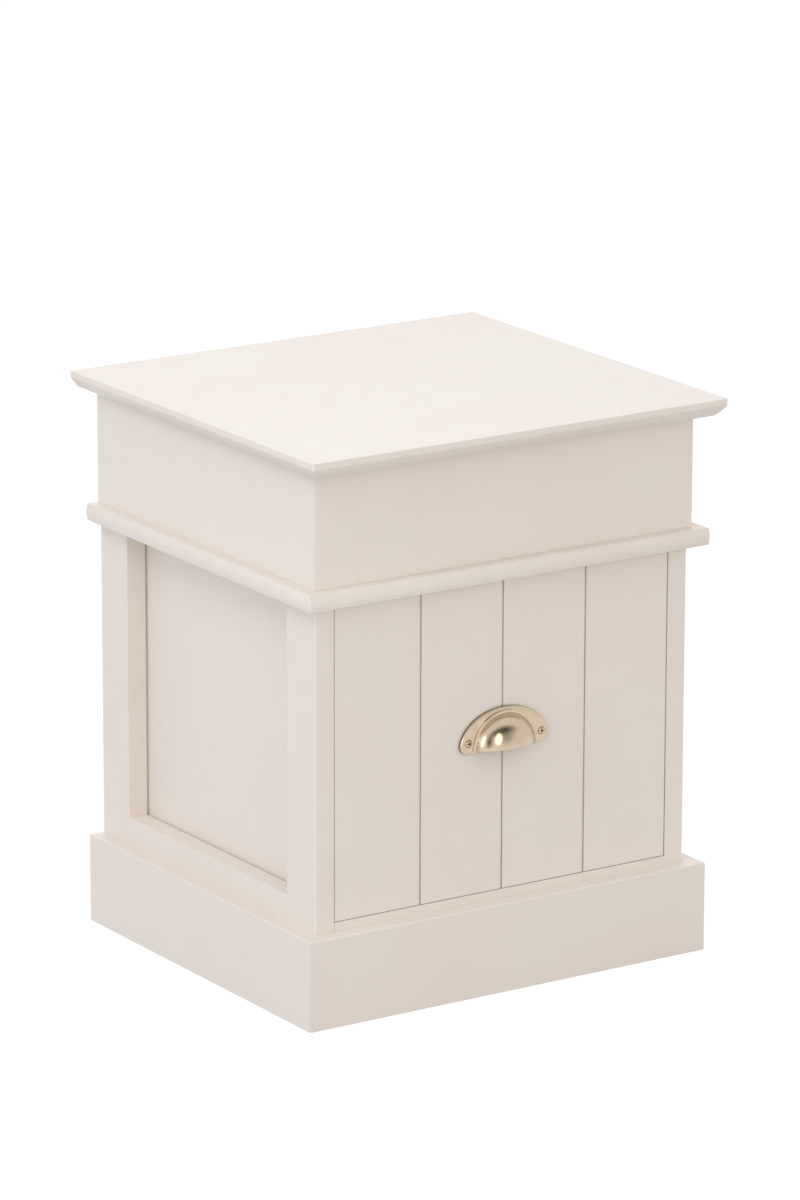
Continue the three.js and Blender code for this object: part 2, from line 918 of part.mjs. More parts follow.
function collarOutline() {
  const half = domeWidth / 2 + collarReach;
  const outline = new THREE.Shape();
  outline.absellipse(0, domeLip, half, domeHeight + collarReach, 0, Math.PI, false, 0);
  return outline;
}

// A plate on the drawer front up to a place in front of it, its front rim rounded over
function rimmedPlate(outline, front, rimDepth, rimInset) {
  const thickness = pullBack - front;
  const geometry = new THREE.ExtrudeGeometry(outline, {
    depth: 2 * (thickness - rimDepth),
    bevelThickness: rimDepth,
    bevelSize: rimInset,
    bevelOffset: -rimInset,
    bevelSegments: rimSteps,
    curveSegments: flangeSteps,
  });
  geometry.applyMatrix4(turnForward).translate(0, pullBack + thickness - rimDepth, 0);
  const behind = blockBetween(
    [-pullWidth, pullBack, pullFoot - cutOverrun],
    [pullWidth, pullBack + thickness + cutOverrun, pullHead + cutOverrun],
  );
  return solidOf(geometry).subtract(solidOf(behind));
}

// A unit ball stretched to half width, reach and height, centred where the lip meets the front
function domeBall(inset) {
  const ball = new THREE.SphereGeometry(1, domeColumns, domeRows);
  ball.rotateX(Math.PI / 2);
  ball.scale(domeWidth / 2 - inset, domeReach - inset, domeHeight - inset);
  return solidOf(ball.translate(0, pullBack, domeLip));
}

// The room above the lip, which climbs a little towards the front
const domeRoomFront = pullBack - domeReach - cutOverrun;
const domeRoom = prismAlongX(
  polygon([
    [pullBack, domeLip],
    [pullBack, pullHead],
    [domeRoomFront, pullHead],
    [domeRoomFront, domeLip + domeLipTiltShare * (pullBack - domeRoomFront)],
  ]),
  -pullWidth,
  pullWidth,
);
const underDome = blockBetween(
  [-(domeWidth / 2 - domeWall), pullBack - domeReach, pullFoot - cutOverrun],
  [domeWidth / 2 - domeWall, pullBack + cutOverrun, domeLip],
);
let pullSolid = rimmedPlate(flangeOutline(), pullFace, pullRimDepth, pullRimInset)
  .add(rimmedPlate(collarOutline(), pullFace - collarHeight, collarRimRadius, collarRimRadius))
  .add(domeBall(0).intersect(solidOf(domeRoom)))
  .subtract(domeBall(domeWall))
  .subtract(solidOf(underDome));

// Raised countersunk screw with a cross recess, turned about its own axis along the depth
function screwCrown() {
  const crown = [];
  for (let step = 0; step < screwCrownSteps; step++) {
    const turn = (step / screwCrownSteps) * (Math.PI / 2);
    crown.push([screwHeadRadius * Math.sin(turn), -screwCrownHeight * Math.cos(turn)]);
  }
  return crown;
}

function screwSolid(gap, front, place) {
  const profile = [
    ...front,
    [screwHeadRadius + gap, 0],
    [screwRadius + gap, screwHeadHeight],
    [screwRadius + gap, screwLength - screwTipLength],
    [0, screwLength + gap],
  ];
  const points = profile.map(([radius, depth]) => new THREE.Vector2(radius, depth));
  const turned = new THREE.LatheGeometry(points, pinSteps);
  return solidOf(turned.translate(place, pullFace, screwLevel));
}

// One arm of the recess: half lengths across and up from the screw's axis
function recessArm(place, acrossReach, upReach) {
  return solidOf(
    blockBetween(
      [place - acrossReach, pullFace - screwCrownHeight - cutOverrun, screwLevel - upReach],
      [
        place + acrossReach,
        pullFace - screwCrownHeight + screwRecessDepth,
        screwLevel + upReach,
      ],
    ),
  );
}

const sinkFront = [
  [0, -cutOverrun],
  [screwHeadRadius + screwHoleGap, -cutOverrun],
];
for (const [sideName, place] of screwPlaces) {
  pullSolid = pullSolid.subtract(screwSolid(screwHoleGap, sinkFront, place));
  const screw = screwSolid(0, screwCrown(), place)
    .subtract(recessArm(place, screwRecessReach, screwRecessWidth / 2))
    .subtract(recessArm(place, screwRecessWidth / 2, screwRecessReach));
  addPiece(drawer, `pull_screw_${sideName}`, geometryOf(screw), brushedNickel);
}
addPiece(drawer, "cup_pull", geometryOf(pullSolid), brushedNickel);

export default chest;
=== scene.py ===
import math

import bmesh
import bpy
from mathutils import Matrix, Vector
from mathutils.bvhtree import BVHTree


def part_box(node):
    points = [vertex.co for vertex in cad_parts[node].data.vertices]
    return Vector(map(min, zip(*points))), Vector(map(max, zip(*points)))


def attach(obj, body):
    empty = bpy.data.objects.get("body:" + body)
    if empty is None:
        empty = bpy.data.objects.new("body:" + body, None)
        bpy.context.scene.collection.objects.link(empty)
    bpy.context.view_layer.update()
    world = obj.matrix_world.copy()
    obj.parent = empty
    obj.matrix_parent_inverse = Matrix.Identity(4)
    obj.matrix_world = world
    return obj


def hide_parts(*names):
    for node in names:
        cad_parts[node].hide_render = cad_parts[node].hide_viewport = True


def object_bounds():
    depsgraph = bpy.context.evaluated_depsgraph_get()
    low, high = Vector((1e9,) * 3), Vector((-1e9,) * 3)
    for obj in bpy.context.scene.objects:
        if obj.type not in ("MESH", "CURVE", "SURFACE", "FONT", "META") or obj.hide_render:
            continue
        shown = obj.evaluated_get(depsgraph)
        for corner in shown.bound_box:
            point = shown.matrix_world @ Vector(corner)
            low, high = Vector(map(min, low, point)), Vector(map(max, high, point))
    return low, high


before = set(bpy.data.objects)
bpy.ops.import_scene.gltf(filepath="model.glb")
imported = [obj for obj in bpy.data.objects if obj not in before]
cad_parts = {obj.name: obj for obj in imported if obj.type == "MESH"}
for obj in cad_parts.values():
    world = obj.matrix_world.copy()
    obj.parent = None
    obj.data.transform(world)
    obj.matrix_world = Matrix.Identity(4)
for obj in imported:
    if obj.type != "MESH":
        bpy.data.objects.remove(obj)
cad_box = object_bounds()
MM = 0.001

# Meshes that come from the CAD
WELD = 0.002 * MM
CUT_TOLERANCE = 0.001 * MM
FLAT_ANGLE = 0.5

# Rounded arrises
BOARD_ARRIS = 0.5 * MM
BOX_ARRIS = 1.0 * MM
PANEL_ARRIS = 0.3 * MM
STEEL_ARRIS = 0.2 * MM
ARRIS_SEGMENTS = 3
ARRIS_ANGLE = 28

# Search for a neighbour beside an arris
NEIGHBOUR_REACH = 2 * MM
PROBE_PROUD = 0.25 * MM
PROBE_INWARD = 0.4 * MM

# Smooth and sharp shading
CURVE_FACET = 2.5 * MM
SMOOTH_ANGLE = 40
PULL_SMOOTH_ANGLE = 32

# Cup pull and its screws
PULL_FLANGE = 3.3 * MM
# Painted shade on the nickel: its colour darkens from a face back into gaps and recesses
PULL_SHADE_START = 0.9 * MM
SCREW_SHADE_START = 0.5 * MM
PAINTED_SHADE_DEPTH = 1.2 * MM
PAINTED_SHADE_SHARE = 0.75

# Runner screws
RUNNER_SCREW_RADIUS = 3.4 * MM
RUNNER_SCREW_HEIGHT = 1.0 * MM
RUNNER_SCREW_COUNT = 3
RUNNER_STEEL = 1.2 * MM
RUNNER_LIP_REACH = 10 * MM

# Pins of the back panel
PIN_RADIUS = 1.1 * MM
PIN_HEIGHT = 0.4 * MM
PIN_EDGE = 4 * MM
PIN_SPACING = 60 * MM

# Facets round the head of a screw or pin
HEAD_STEPS = 28


# Node helpers


def new_material(name):
    material = bpy.data.materials.new(name)
    material.use_nodes = True
    nodes = material.node_tree.nodes
    nodes.clear()
    output = nodes.new("ShaderNodeOutputMaterial")
    return material, nodes, material.node_tree.links, output


def new_finish(name):
    material, nodes, links, output = new_material(name)
    shader = nodes.new("ShaderNodeBsdfPrincipled")
    links.new(shader.outputs["BSDF"], output.inputs["Surface"])
    return material, nodes, links, shader


def srgb(red, green, blue):
    """A colour given as it is seen, 0 to 255, turned into the linear values that a socket takes."""
    def linear(value):
        value /= 255
        return value / 12.92 if value <= 0.04045 else ((value + 0.055) / 1.055) ** 2.4
    return (linear(red), linear(green), linear(blue), 1.0)


def place_on_object(nodes, links, scale=(1, 1, 1)):
    coordinates = nodes.new("ShaderNodeTexCoord")
    mapping = nodes.new("ShaderNodeMapping")
    mapping.inputs["Scale"].default_value = scale
    links.new(coordinates.outputs["Object"], mapping.inputs["Vector"])
    return mapping.outputs["Vector"]


def noise(nodes, links, vector, scale, detail=2.0, roughness=0.5, distortion=0.0):
    texture = nodes.new("ShaderNodeTexNoise")
    texture.inputs["Scale"].default_value = scale
    texture.inputs["Detail"].default_value = detail
    texture.inputs["Roughness"].default_value = roughness
    texture.inputs["Distortion"].default_value = distortion
    links.new(vector, texture.inputs["Vector"])
    return texture.outputs["Fac"]


def spread(nodes, links, value, given, wanted=(0.0, 1.0)):
    """A value's given range, low and high, spread over the wanted one."""
    ranged = nodes.new("ShaderNodeMapRange")
    ranged.inputs["From Min"].default_value = given[0]
    ranged.inputs["From Max"].default_value = given[1]
    ranged.inputs["To Min"].default_value = wanted[0]
    ranged.inputs["To Max"].default_value = wanted[1]
    links.new(value, ranged.inputs["Value"])
    return ranged.outputs["Result"]


def maths(nodes, links, operation, first, second=0.0):
    """One step of arithmetic on two values, each a number or a socket."""
    step = nodes.new("ShaderNodeMath")
    step.operation = operation
    for socket, value in zip(step.inputs, (first, second)):
        if isinstance(value, (int, float)):
            socket.default_value = value
        else:
            links.new(value, socket)
    return step.outputs["Value"]


def blended(nodes, links, share, first, second):
    """Two colours mixed by a share, each a fixed colour or a socket."""
    mix = nodes.new("ShaderNodeMix")
    mix.data_type = "RGBA"
    links.new(share, mix.inputs["Factor"])
    for socket, value in ((mix.inputs["A"], first), (mix.inputs["B"], second)):
        if isinstance(value, tuple):
            socket.default_value = value
        else:
            links.new(value, socket)
    return mix.outputs["Result"]


def raise_surface(nodes, links, shader, heights):
    """Bumps laid one on another: each is a height value, its real height in metres and a strength."""
    normal = None
    for height, distance, strength in heights:
        bump = nodes.new("ShaderNodeBump")
        bump.inputs["Distance"].default_value = distance
        bump.inputs["Strength"].default_value = strength
        links.new(height, bump.inputs["Height"])
        if normal is not None:
            links.new(normal, bump.inputs["Normal"])
        normal = bump.outputs["Normal"]
    links.new(normal, shader.inputs["Normal"])


def mixed_shaders(nodes, links, share, first, second):
    mix = nodes.new("ShaderNodeMixShader")
    links.new(share, mix.inputs["Fac"])
    links.new(first, mix.inputs[1])
    links.new(second, mix.inputs[2])
    return mix.outputs["Shader"]


def seen_directly(nodes, links):
    """1 for what the camera sees itself, in gloss or through glass, and 0 for light on the chest."""
    rays = nodes.new("ShaderNodeLightPath")
    shown = maths(nodes, links, "MAXIMUM", rays.outputs["Is Camera Ray"], rays.outputs["Is Glossy Ray"])
    return maths(nodes, links, "MAXIMUM", shown, rays.outputs["Is Transmission Ray"])


# Finishes


def cream_paint():
    """Satin paint: tone that drifts and clouds faintly, orange peel from the roller, fine dust."""
    material, nodes, links, shader = new_finish("cream_paint")
    body = srgb(235, 225, 215)
    light = srgb(237, 228, 218)
    clouded = srgb(233, 223, 212)
    everywhere = place_on_object(nodes, links)
    drift = noise(nodes, links, everywhere, scale=5.0, detail=3.0)
    cloud = noise(nodes, links, everywhere, scale=38.0, detail=4.0, roughness=0.6)
    peel = noise(nodes, links, everywhere, scale=520.0, detail=2.0)
    dust = noise(nodes, links, everywhere, scale=2600.0, detail=1.0)
    drift_share = spread(nodes, links, drift, (0.35, 0.65))
    cloud_share = spread(nodes, links, cloud, (0.42, 0.75), (0.0, 0.35))
    tone = blended(nodes, links, drift_share, body, light)
    tone = blended(nodes, links, cloud_share, tone, clouded)
    links.new(tone, shader.inputs["Base Color"])
    links.new(spread(nodes, links, cloud, (0.3, 0.7), (0.34, 0.42)), shader.inputs["Roughness"])
    raise_surface(nodes, links, shader, [
        (cloud, 0.12 * MM, 0.35),
        (peel, 0.04 * MM, 0.35),
        (dust, 0.01 * MM, 0.3),
    ])
    return material


def pale_board(name, grain_axis):
    """Clear-sealed board: its bands and pores are long along the grain and narrow across it."""
    material, nodes, links, shader = new_finish(name)
    early = srgb(222, 203, 171)
    late = srgb(206, 181, 143)
    pore = srgb(178, 149, 110)
    band_count = 11.0
    band_scale = [0.6 if axis == grain_axis else 9.0 for axis in "xyz"]
    pore_scale = [3.0 if axis == grain_axis else 130.0 for axis in "xyz"]
    band_place = place_on_object(nodes, links, band_scale)
    pore_place = place_on_object(nodes, links, pore_scale)
    bands = noise(nodes, links, band_place, scale=6.0, detail=4.0, roughness=0.55, distortion=1.6)
    ripple = maths(nodes, links, "FRACT", maths(nodes, links, "MULTIPLY", bands, band_count))
    pores = noise(nodes, links, pore_place, scale=8.0, detail=3.0, roughness=0.6)
    tone = blended(nodes, links, ripple, early, late)
    tone = blended(nodes, links, spread(nodes, links, pores, (0.5, 0.75), (0.0, 0.5)), tone, pore)
    links.new(tone, shader.inputs["Base Color"])
    links.new(spread(nodes, links, pores, (0.3, 0.7), (0.5, 0.66)), shader.inputs["Roughness"])
    raise_surface(nodes, links, shader, [
        (ripple, 0.04 * MM, 0.3),
        (pores, 0.06 * MM, 0.5),
    ])
    return material


def brushed_nickel(name, shade_start):
    """Nickel brushed across, with shade painted into its colour: darker from the place given on Y back
    into gaps and recesses.
    """
    material, nodes, links, shader = new_finish(name)
    bright = srgb(208, 190, 168)
    warm = srgb(200, 180, 156)
    # Colour of the painted shade in gaps and recesses
    recess_shade = srgb(92, 74, 58)
    long_across = (24.0, 900.0, 900.0)
    strokes_place = place_on_object(nodes, links, long_across)
    patches_place = place_on_object(nodes, links)
    strokes = noise(nodes, links, strokes_place, scale=3.0, detail=3.0, roughness=0.7)
    patches = noise(nodes, links, patches_place, scale=90.0, detail=3.0)
    tone = blended(nodes, links, spread(nodes, links, patches, (0.35, 0.7)), bright, warm)
    places = nodes.new("ShaderNodeSeparateXYZ")
    links.new(patches_place, places.inputs["Vector"])
    shade_end = shade_start + PAINTED_SHADE_DEPTH
    # Painted shade: the colour darkens with depth behind the given place on Y
    sunk_shade = spread(nodes, links, places.outputs["Y"], (shade_start, shade_end), (0.0, PAINTED_SHADE_SHARE))
    tone = blended(nodes, links, sunk_shade, tone, recess_shade)
    links.new(tone, shader.inputs["Base Color"])
    shader.inputs["Metallic"].default_value = 1.0
    links.new(spread(nodes, links, strokes, (0.25, 0.75), (0.12, 0.24)), shader.inputs["Roughness"])
    raise_surface(nodes, links, shader, [
        (strokes, 0.012 * MM, 0.35),
        (patches, 0.04 * MM, 0.12),
    ])
    return material


def white_epoxy():
    """Baked white coat on folded steel, with faint smears and a fine peel."""
    material, nodes, links, shader = new_finish("white_epoxy")
    clean = srgb(235, 234, 230)
    smeared = srgb(224, 222, 216)
    everywhere = place_on_object(nodes, links)
    peel = noise(nodes, links, everywhere, scale=900.0, detail=3.0)
    smears = noise(nodes, links, everywhere, scale=40.0, detail=4.0)
    tone = blended(nodes, links, spread(nodes, links, smears, (0.4, 0.7)), clean, smeared)
    links.new(tone, shader.inputs["Base Color"])
    links.new(spread(nodes, links, smears, (0.3, 0.7), (0.28, 0.42)), shader.inputs["Roughness"])
    raise_surface(nodes, links, shader, [(peel, 0.03 * MM, 0.5)])
    return material


def zinc_plate():
    """Bright zinc with a fine spangle."""
    material, nodes, links, shader = new_finish("zinc_plate")
    bright = srgb(196, 199, 202)
    dull = srgb(172, 176, 182)
    everywhere = place_on_object(nodes, links)
    spangle = noise(nodes, links, everywhere, scale=600.0, detail=3.0)
    tone = blended(nodes, links, spread(nodes, links, spangle, (0.35, 0.7)), bright, dull)
    links.new(tone, shader.inputs["Base Color"])
    shader.inputs["Metallic"].default_value = 1.0
    links.new(spread(nodes, links, spangle, (0.3, 0.7), (0.22, 0.38)), shader.inputs["Roughness"])
    raise_surface(nodes, links, shader, [(spangle, 0.01 * MM, 0.4)])
    return material


def roller_nylon():
    """Natural white nylon that light enters a little, scuffed where it rolls."""
    material, nodes, links, shader = new_finish("roller_nylon")
    clean = srgb(243, 242, 237)
    scuffed = srgb(220, 218, 211)
    light_depth = 2 * MM
    everywhere = place_on_object(nodes, links)
    scuffs = noise(nodes, links, everywhere, scale=700.0, detail=4.0, roughness=0.65)
    tone = blended(nodes, links, spread(nodes, links, scuffs, (0.45, 0.75)), clean, scuffed)
    links.new(tone, shader.inputs["Base Color"])
    links.new(spread(nodes, links, scuffs, (0.3, 0.7), (0.35, 0.5)), shader.inputs["Roughness"])
    shader.inputs["Subsurface Weight"].default_value = 0.08
    shader.inputs["Subsurface Radius"].default_value = (light_depth, light_depth, light_depth)
    raise_surface(nodes, links, shader, [(scuffs, 0.02 * MM, 0.4)])
    return material


pull_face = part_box("cup_pull")[1].y - PULL_FLANGE
screw_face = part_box("pull_screw_left")[0].y

paint = cream_paint()
# The pull and its screws get painted shade from their own front faces back
nickel = brushed_nickel("brushed_nickel", pull_face + PULL_SHADE_START)
screw_nickel = brushed_nickel("brushed_nickel_screws", screw_face + SCREW_SHADE_START)
epoxy = white_epoxy()
zinc = zinc_plate()
nylon = roller_nylon()
board_along_depth = pale_board("pale_board_along_depth", "y")
board_across = pale_board("pale_board_across", "x")


# Meshes and objects


def merged_copy(node):
    """A copy of a CAD node's loose triangles with their corners joined."""
    mesh = bmesh.new()
    mesh.from_mesh(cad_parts[node].data)
    bmesh.ops.remove_doubles(mesh, verts=mesh.verts, dist=WELD)
    return mesh


def finished_object(mesh, name, material, smooth_angle=None):
    """The finished mesh as an object. Edges past the smooth angle are sharp, if one is given."""
    data = bpy.data.meshes.new(name)
    mesh.to_mesh(data)
    mesh.free()
    if "custom_normal" in data.attributes:
        data.attributes.remove(data.attributes["custom_normal"])
    if smooth_angle is not None:
        data.set_sharp_from_angle(angle=math.radians(smooth_angle))
    data.materials.append(material)
    finished = bpy.data.objects.new(name, data)
    bpy.context.scene.collection.objects.link(finished)
    return finished


# Boards and folded steel with rounded arrises


def other_solids(node):
    """One tree of every CAD solid but the named one, to see what a board's faces lie against."""
    corners, faces = [], []
    for name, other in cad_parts.items():
        if name == node:
            continue
        start = len(corners)
        corners.extend(other.matrix_world @ corner.co for corner in other.data.vertices)
        faces.extend([start + index for index in face.vertices] for face in other.data.polygons)
    return BVHTree.FromPolygons(corners, faces)


def within_a_neighbour(tree, point):
    place, normal, _, _ = tree.find_nearest(point, NEIGHBOUR_REACH)
    return place is not None and (point - place).dot(normal) < 0


def open_arrises(mesh, tree):
    """The sharp outer edges with no other board against either of their faces."""
    chosen = []
    for edge in mesh.edges:
        if len(edge.link_faces) != 2 or not edge.is_convex:
            continue
        if edge.calc_face_angle(0.0) < math.radians(ARRIS_ANGLE):
            continue
        middle = (edge.verts[0].co + edge.verts[1].co) / 2
        along = (edge.verts[1].co - edge.verts[0].co).normalized()
        covered = False
        for face in edge.link_faces:
            inward = face.normal.cross(along)
            if inward.dot(face.calc_center_median() - middle) < 0:
                inward.negate()
            probe = middle + face.normal * PROBE_PROUD + inward * PROBE_INWARD
            if within_a_neighbour(tree, probe):
                covered = True
        if not covered:
            chosen.append(edge)
    return chosen


def part_of_curve(face):
    """A facet of a curve or an arris is a narrow strip; a flat face is wide."""
    return face.calc_area() / max(edge.calc_length() for edge in face.edges) < CURVE_FACET


def eased_board(node, body, material, radius, cuts=()):
    """The CAD board with its open arrises rounded. A cut splits its faces where a neighbour starts."""
    mesh = merged_copy(node)
    bmesh.ops.dissolve_limit(
        mesh, angle_limit=math.radians(FLAT_ANGLE), verts=mesh.verts, edges=mesh.edges,
    )
    for axis, level in cuts:
        normal = Vector([1.0 if letter == axis else 0.0 for letter in "xyz"])
        bmesh.ops.bisect_plane(
            mesh, geom=mesh.verts[:] + mesh.edges[:] + mesh.faces[:],
            plane_co=normal * level, plane_no=normal, dist=CUT_TOLERANCE,
        )
    mesh.normal_update()
    arrises = open_arrises(mesh, other_solids(node))
    bmesh.ops.bevel(
        mesh, geom=arrises, offset=radius, offset_type="OFFSET", affect="EDGES",
        segments=ARRIS_SEGMENTS, profile=0.5, material=-1, clamp_overlap=True,
    )
    for face in mesh.faces:
        face.smooth = part_of_curve(face)
    for edge in mesh.edges:
        edge.smooth = edge.calc_face_angle(0.0) < math.radians(SMOOTH_ANGLE)
    board = finished_object(mesh, node + "_eased", material)
    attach(board, body)
    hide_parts(node)


sides = ("left", "right")
rail_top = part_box("bottom_rail_left")[1].z
plinth_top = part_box("plinth_left")[1].z
stile_cuts = [("z", rail_top), ("z", plinth_top)]

for node in ("top_board", "frieze_front", "frieze_back", "waist_board", "bottom_board",
             "plinth_front", "plinth_back"):
    eased_board(node, "cabinet", paint, BOARD_ARRIS)
for side in sides:
    for node in (f"frieze_{side}", f"side_panel_{side}", f"plinth_{side}"):
        eased_board(node, "cabinet", paint, BOARD_ARRIS)
    for node in (f"front_stile_{side}", f"rear_stile_{side}"):
        eased_board(node, "cabinet", paint, BOARD_ARRIS, stile_cuts)
    eased_board(f"bottom_rail_{side}", "cabinet", paint, BOARD_ARRIS)
eased_board("drawer_front", "drawer", paint, BOARD_ARRIS)
eased_board("back_panel", "cabinet", board_across, PANEL_ARRIS)
for side in sides:
    eased_board(f"drawer_side_{side}", "drawer", board_along_depth, BOX_ARRIS)
eased_board("drawer_back", "drawer", board_across, BOX_ARRIS)


# Cup pull, screws, rollers, pins and runners


def smoothed_piece(node, body, material, smooth_angle):
    """The CAD piece with its facets shaded as the curves they stand for."""
    mesh = merged_copy(node)
    for face in mesh.faces:
        face.smooth = True
    piece = finished_object(mesh, node + "_smoothed", material, smooth_angle)
    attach(piece, body)
    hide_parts(node)


smoothed_piece("cup_pull", "drawer", nickel, PULL_SMOOTH_ANGLE)
for side in sides:
    smoothed_piece(f"pull_screw_{side}", "drawer", screw_nickel, SMOOTH_ANGLE)
    smoothed_piece(f"front_roller_pin_{side}", "cabinet", zinc, SMOOTH_ANGLE)
    smoothed_piece(f"rear_roller_pin_{side}", "drawer", zinc, SMOOTH_ANGLE)
    for end in ("front", "rear"):
        smoothed_piece(f"{end}_roller_{side}", f"{end}_roller_body_{side}", nylon, SMOOTH_ANGLE)
    eased_board(f"cabinet_runner_{side}", "cabinet", epoxy, STEEL_ARRIS)
    eased_board(f"drawer_runner_{side}", "drawer", epoxy, STEEL_ARRIS)
eased_board("drawer_bottom", "drawer", board_across, PANEL_ARRIS)


# Heads of the runner screws and of the back panel's pins


def spun_head(mesh, profile, place, outward):
    """One round head: its profile, given from the axis outward, is spun and set down on a face."""
    corners = [mesh.verts.new((reach, 0, level)) for reach, level in profile]
    edges = [mesh.edges.new(pair) for pair in zip(corners, corners[1:])]
    bmesh.ops.spin(
        mesh, geom=corners + edges, cent=(0, 0, 0), axis=(0, 0, 1),
        angle=2 * math.pi, steps=HEAD_STEPS, use_merge=True,
    )
    bmesh.ops.remove_doubles(mesh, verts=mesh.verts, dist=WELD)
    head = [vertex for vertex in mesh.verts if not vertex.tag]
    turn = outward.to_track_quat("Z", "Y").to_matrix().to_4x4()
    bmesh.ops.transform(mesh, matrix=Matrix.Translation(place) @ turn, verts=head)
    for vertex in head:
        vertex.tag = True


def heads_piece(name, body, profile, places, outward):
    """Heads at several places, as one piece that rides on a body."""
    mesh = bmesh.new()
    for place in places:
        spun_head(mesh, profile, place, outward)
    bmesh.ops.recalc_face_normals(mesh, faces=mesh.faces)
    for face in mesh.faces:
        face.smooth = True
    piece = finished_object(mesh, name, zinc, SMOOTH_ANGLE)
    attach(piece, body)


def screw_profile(radius, height):
    """A flat-topped round head with a recess in its middle, closed underneath."""
    return [
        (0, height * 0.25),
        (radius * 0.22, height * 0.3),
        (radius * 0.3, height * 0.95),
        (radius * 0.55, height),
        (radius * 0.82, height * 0.8),
        (radius * 0.96, height * 0.4),
        (radius, 0),
        (0, 0),
    ]


def pin_profile(radius, height):
    """A low domed head, closed underneath."""
    return [
        (0, height),
        (radius * 0.5, height * 0.9),
        (radius * 0.86, height * 0.5),
        (radius, 0),
        (0, 0),
    ]


def places_along(start, end, count):
    """The middles of so many equal stretches."""
    return [start + (end - start) * (index + 0.5) / count for index in range(count)]


def runner_screws(side, inward):
    """Screws on the inner face of a cabinet channel's web and under a drawer angle's lip."""
    head = screw_profile(RUNNER_SCREW_RADIUS, RUNNER_SCREW_HEIGHT)
    low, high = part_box(f"cabinet_runner_{side}")
    web_face = (low.x if inward > 0 else high.x) + inward * RUNNER_STEEL
    web_level = (low.z + high.z) / 2
    screws_along = places_along(low.y, high.y, RUNNER_SCREW_COUNT)
    web_places = [Vector((web_face, place, web_level)) for place in screws_along]
    heads_piece(f"cabinet_runner_screws_{side}", "cabinet", head, web_places, Vector((inward, 0, 0)))

    low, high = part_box(f"drawer_runner_{side}")
    lip_end = high.x if inward > 0 else low.x
    lip_middle = lip_end - inward * RUNNER_LIP_REACH / 2
    screws_along = places_along(low.y, high.y, RUNNER_SCREW_COUNT)
    lip_places = [Vector((lip_middle, place, low.z)) for place in screws_along]
    heads_piece(f"drawer_runner_screws_{side}", "drawer", head, lip_places, Vector((0, 0, -1)))


def back_panel_pins():
    """Two upright rows of pins near the edges of the back panel."""
    low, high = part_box("back_panel")
    rows = round((high.z - low.z) / PIN_SPACING)
    places = [
        Vector((edge, high.y, level))
        for edge in (low.x + PIN_EDGE, high.x - PIN_EDGE)
        for level in places_along(low.z, high.z, rows)
    ]
    head = pin_profile(PIN_RADIUS, PIN_HEIGHT)
    heads_piece("back_panel_pins", "cabinet", head, places, Vector((0, 1, 0)))


runner_screws("left", inward=1)
runner_screws("right", inward=-1)
back_panel_pins()


# Floor and world


def flat_sheet(width, height):
    """A mesh of one flat face round the origin."""
    mesh = bmesh.new()
    bmesh.ops.create_grid(mesh, x_segments=1, y_segments=1, size=0.5)
    bmesh.ops.scale(mesh, vec=(width, height, 1), verts=mesh.verts)
    return mesh


def studio_floor(width):
    """A pale floor: it throws plain light back, and the camera sees it near white with its shadow."""
    material, nodes, links, output = new_material("studio_floor")
    throwing_grey = (0.6, 0.6, 0.6, 1)
    shaded_grey = (0.45, 0.45, 0.45, 1)
    own_glow = 0.68
    plain = nodes.new("ShaderNodeBsdfDiffuse")
    plain.inputs["Color"].default_value = throwing_grey
    seen = nodes.new("ShaderNodeBsdfDiffuse")
    seen.inputs["Color"].default_value = shaded_grey
    glow = nodes.new("ShaderNodeEmission")
    glow.inputs["Strength"].default_value = own_glow
    lit = nodes.new("ShaderNodeAddShader")
    links.new(seen.outputs["BSDF"], lit.inputs[0])
    links.new(glow.outputs["Emission"], lit.inputs[1])
    shown = seen_directly(nodes, links)
    surface = mixed_shaders(nodes, links, shown, plain.outputs["BSDF"], lit.outputs["Shader"])
    links.new(surface, output.inputs["Surface"])
    floor = finished_object(flat_sheet(width, width), "studio_floor", material)


def studio_world(level, colour):
    """Soft light from all round at one level, white to the camera."""
    world = bpy.data.worlds.new("studio")
    bpy.context.scene.world = world
    world.use_nodes = True
    nodes, links = world.node_tree.nodes, world.node_tree.links
    nodes.clear()
    output = nodes.new("ShaderNodeOutputWorld")
    light = nodes.new("ShaderNodeBackground")
    light.inputs["Color"].default_value = (*colour, 1)
    light.inputs["Strength"].default_value = level
    white = nodes.new("ShaderNodeBackground")
    white.inputs["Color"].default_value = (1, 1, 1, 1)
    white.inputs["Strength"].default_value = 1.0
    shown = seen_directly(nodes, links)
    surface = mixed_shaders(nodes, links, shown, light.outputs["Background"], white.outputs["Background"])
    links.new(surface, output.inputs["Surface"])


# Lamps and cards


def around(azimuth, elevation, distance, centre):
    """A place round a centre: azimuth 0 is in front of the chest, negative to its left."""
    turn = math.radians(azimuth)
    rise = math.radians(elevation)
    way = Vector((math.sin(turn) * math.cos(rise), -math.cos(turn) * math.cos(rise), math.sin(rise)))
    return centre + way * distance


def aimed(thing, place, target):
    thing.location = place
    thing.rotation_mode = "QUATERNION"
    thing.rotation_quaternion = (target - place).to_track_quat("-Z", "Y")


def softbox(name, azimuth, elevation, distance, width, height, power, colour, mirrored=True):
    """A soft lamp aimed at the chest. Metal mirrors it only if it is mirrored."""
    light = bpy.data.lights.new(name, "AREA")
    light.shape = "ELLIPSE"
    light.size = width
    light.size_y = height
    light.energy = power
    light.color = colour
    lamp = bpy.data.objects.new(name, light)
    bpy.context.scene.collection.objects.link(lamp)
    aimed(lamp, around(azimuth, elevation, distance, chest_middle), chest_middle)
    lamp.visible_glossy = mirrored


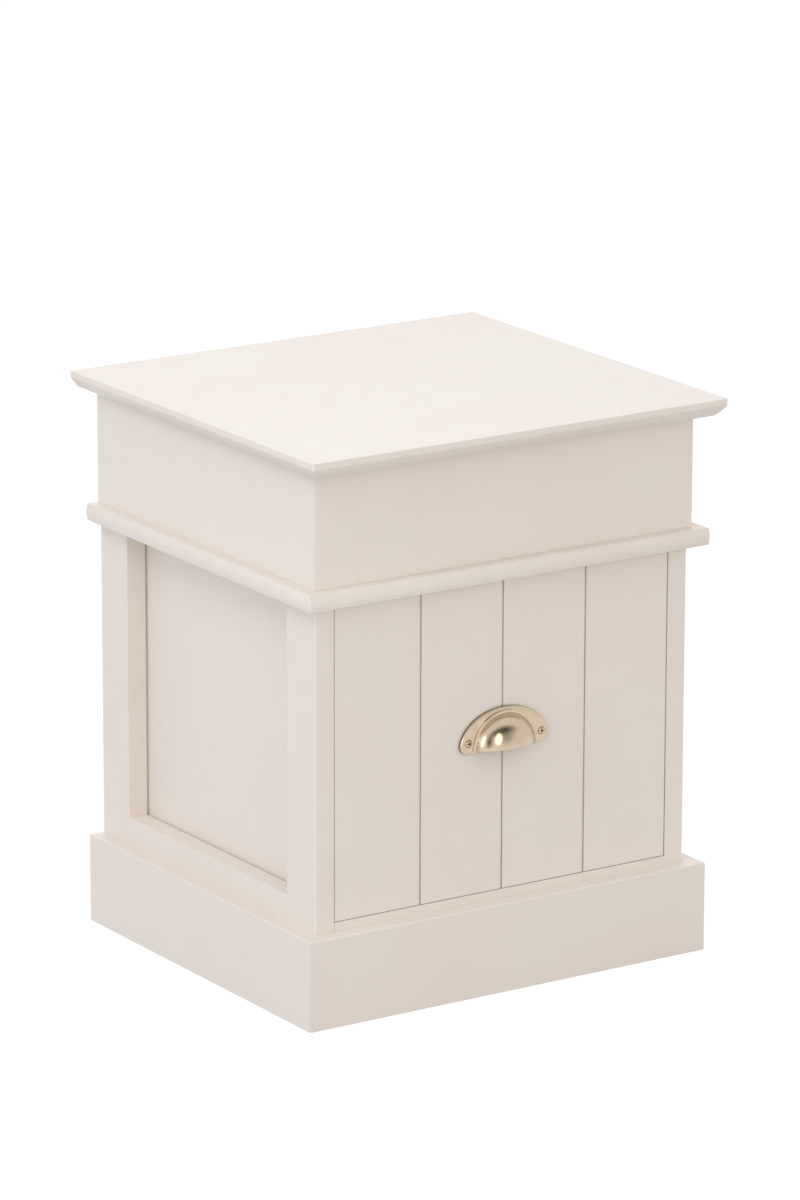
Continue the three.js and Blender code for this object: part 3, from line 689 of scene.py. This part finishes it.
def dark_card(name, azimuth, elevation, distance, width, height, share):
    """A dark card with soft edges that only gloss mirrors; share is how far it hides what is behind."""
    material, nodes, links, output = new_material(name)
    near_black = (0.05, 0.04, 0.035, 1)
    soft_edge = (0.3, 1.0)
    dark = nodes.new("ShaderNodeBsdfDiffuse")
    dark.inputs["Color"].default_value = near_black
    clear = nodes.new("ShaderNodeBsdfTransparent")
    middle_out = place_on_object(nodes, links, (2 / width, 2 / height, 1))
    fall = nodes.new("ShaderNodeVectorMath")
    fall.operation = "LENGTH"
    links.new(middle_out, fall.inputs[0])
    hidden = spread(nodes, links, fall.outputs["Value"], soft_edge, (share, 0.0))
    surface = mixed_shaders(nodes, links, hidden, clear.outputs["BSDF"], dark.outputs["BSDF"])
    links.new(surface, output.inputs["Surface"])
    card = finished_object(flat_sheet(width, height), name, material)
    aimed(card, around(azimuth, elevation, distance, pull_middle), pull_middle)
    card.visible_camera = False
    card.visible_diffuse = False
    card.visible_shadow = False
    card.visible_transmission = False


chest_middle = (Vector(cad_box[0]) + Vector(cad_box[1])) / 2
pull_middle = Vector((0, -0.18, 0.23))

studio_floor(width=28.0)
studio_world(level=0.74, colour=(0.99, 0.97, 1.0))
softbox(
    "left_strip", azimuth=-74, elevation=14, distance=3.5,
    width=1.1, height=1.9, power=14.0, colour=(0.88, 0.95, 1.0),
)
softbox(
    "left_softbox", azimuth=-78, elevation=50, distance=3.1,
    width=1.5, height=1.5, power=19.0, colour=(0.84, 0.93, 1.0), mirrored=False,
)
softbox(
    "front_strip", azimuth=-14, elevation=18, distance=3.5,
    width=1.1, height=1.8, power=12.7, colour=(1.0, 0.97, 0.85),
)
softbox(
    "front_softbox", azimuth=-5, elevation=6, distance=3.5,
    width=1.2, height=0.9, power=4.4, colour=(1.0, 0.90, 0.64), mirrored=False,
)
softbox(
    "back_softbox", azimuth=150, elevation=40, distance=3.0,
    width=2.4, height=1.6, power=10.6, colour=(0.96, 1.0, 1.0),
)
dark_card("dark_card_high", azimuth=-4, elevation=40, distance=4.2, width=9.6, height=2.7, share=0.95)
dark_card("dark_card_low", azimuth=6, elevation=20, distance=4.3, width=5.4, height=3.0, share=0.5)
dark_card("dark_card_between", azimuth=-46, elevation=14, distance=4.2, width=2.2, height=3.4, share=0.9)


# Camera


def photo_camera(place, turn, sensor, lens):
    """A long lens where it was fitted to the photograph's straight edges."""
    data = bpy.data.cameras.new("camera")
    data.sensor_width = sensor
    data.lens = lens
    camera = bpy.data.objects.new("camera", data)
    camera.location = place
    camera.rotation_euler = [math.radians(angle) for angle in turn]
    bpy.context.scene.collection.objects.link(camera)
    bpy.context.scene.camera = camera


photo_camera(
    place=(-3.0282, -4.6133, 1.83895), turn=(74.4832, -0.1333, -33.2792), sensor=36.0, lens=197.19,
)
bpy.context.scene.view_settings.view_transform = "Standard"
